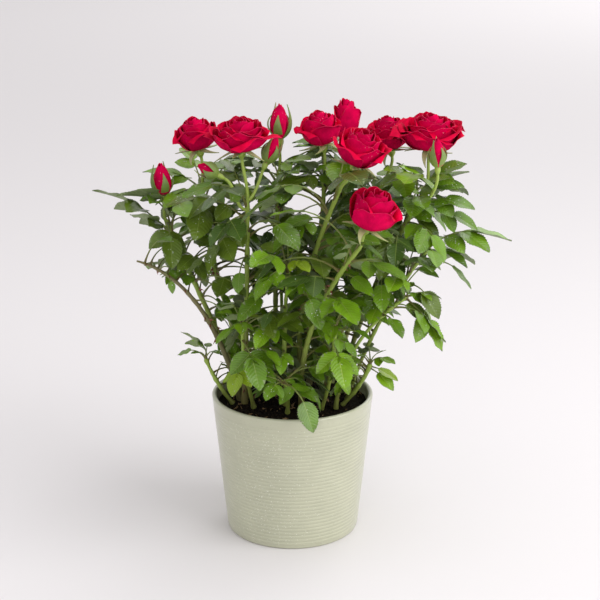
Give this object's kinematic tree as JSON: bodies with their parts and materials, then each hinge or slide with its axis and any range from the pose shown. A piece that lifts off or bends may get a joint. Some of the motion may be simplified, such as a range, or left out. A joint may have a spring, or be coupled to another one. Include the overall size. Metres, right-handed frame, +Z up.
{
  "type": "potted rose bush",
  "caption": "Miniature rose bush in flower: slim branching canes, dark compound leaves and deep red roses with buds, in a ribbed round pale green ceramic pot",
  "frame": {"origin": "centre of the pot's flat underside", "axes": "+Z up, +X to the right and +Y to the back as the plant is seen from its front"},
  "size_m": [0.343, 0.2365, 0.3591],
  "materials": {
    "pot_glaze": "satin pale sage glaze over fine horizontal ribs",
    "potting_mix": "dark moist crumbs of peat and bark",
    "cane_bark": "smooth green bark with reddish prickles",
    "leaf": "satin dark green leaf",
    "petal": "velvety deep red petal"
  },
  "bodies": {
    "root": {"pot": "pot_glaze", "soil": "potting_mix", "cane_stub": "cane_bark", "cane_bud_left": "cane_bark", "cane_left_back": "cane_bark", "cane_left_front": "cane_bark", "cane_bud_middle": "cane_bark", "cane_middle": "cane_bark", "cane_tall": "cane_bark", "cane_middle_front": "cane_bark", "cane_back": "cane_bark", "cane_right": "cane_bark", "cane_front": "cane_bark", "rose_left_front": "petal", "rose_left_back": "petal", "rose_middle": "petal", "rose_tall": "petal", "rose_middle_front": "petal", "rose_back": "petal", "rose_right": "petal", "rose_front": "petal", "rosebud_left": "petal", "rosebud_middle": "petal", "rosebud_centre": "petal", "rosebud_side": "petal", "rosebud_right": "petal", "foliage_stub": "leaf", "foliage_bud_left": "leaf", "foliage_left_back": "leaf", "foliage_left_front": "leaf", "foliage_bud_middle": "leaf", "foliage_middle": "leaf", "foliage_tall": "leaf", "foliage_middle_front": "leaf", "foliage_back": "leaf", "foliage_right": "leaf", "foliage_front": "leaf", "foliage_low_left": "leaf", "foliage_left_side": "leaf", "foliage_front_left": "leaf", "foliage_drape": "leaf", "foliage_front_right": "leaf", "foliage_low_right": "leaf", "foliage_right_side": "leaf", "foliage_right_wing": "leaf", "foliage_centre": "leaf", "foliage_back_left": "leaf", "foliage_back_middle": "leaf", "foliage_back_right": "leaf", "foliage_low_back_left": "leaf", "foliage_low_back_right": "leaf"}
  },
  "joints": []
}
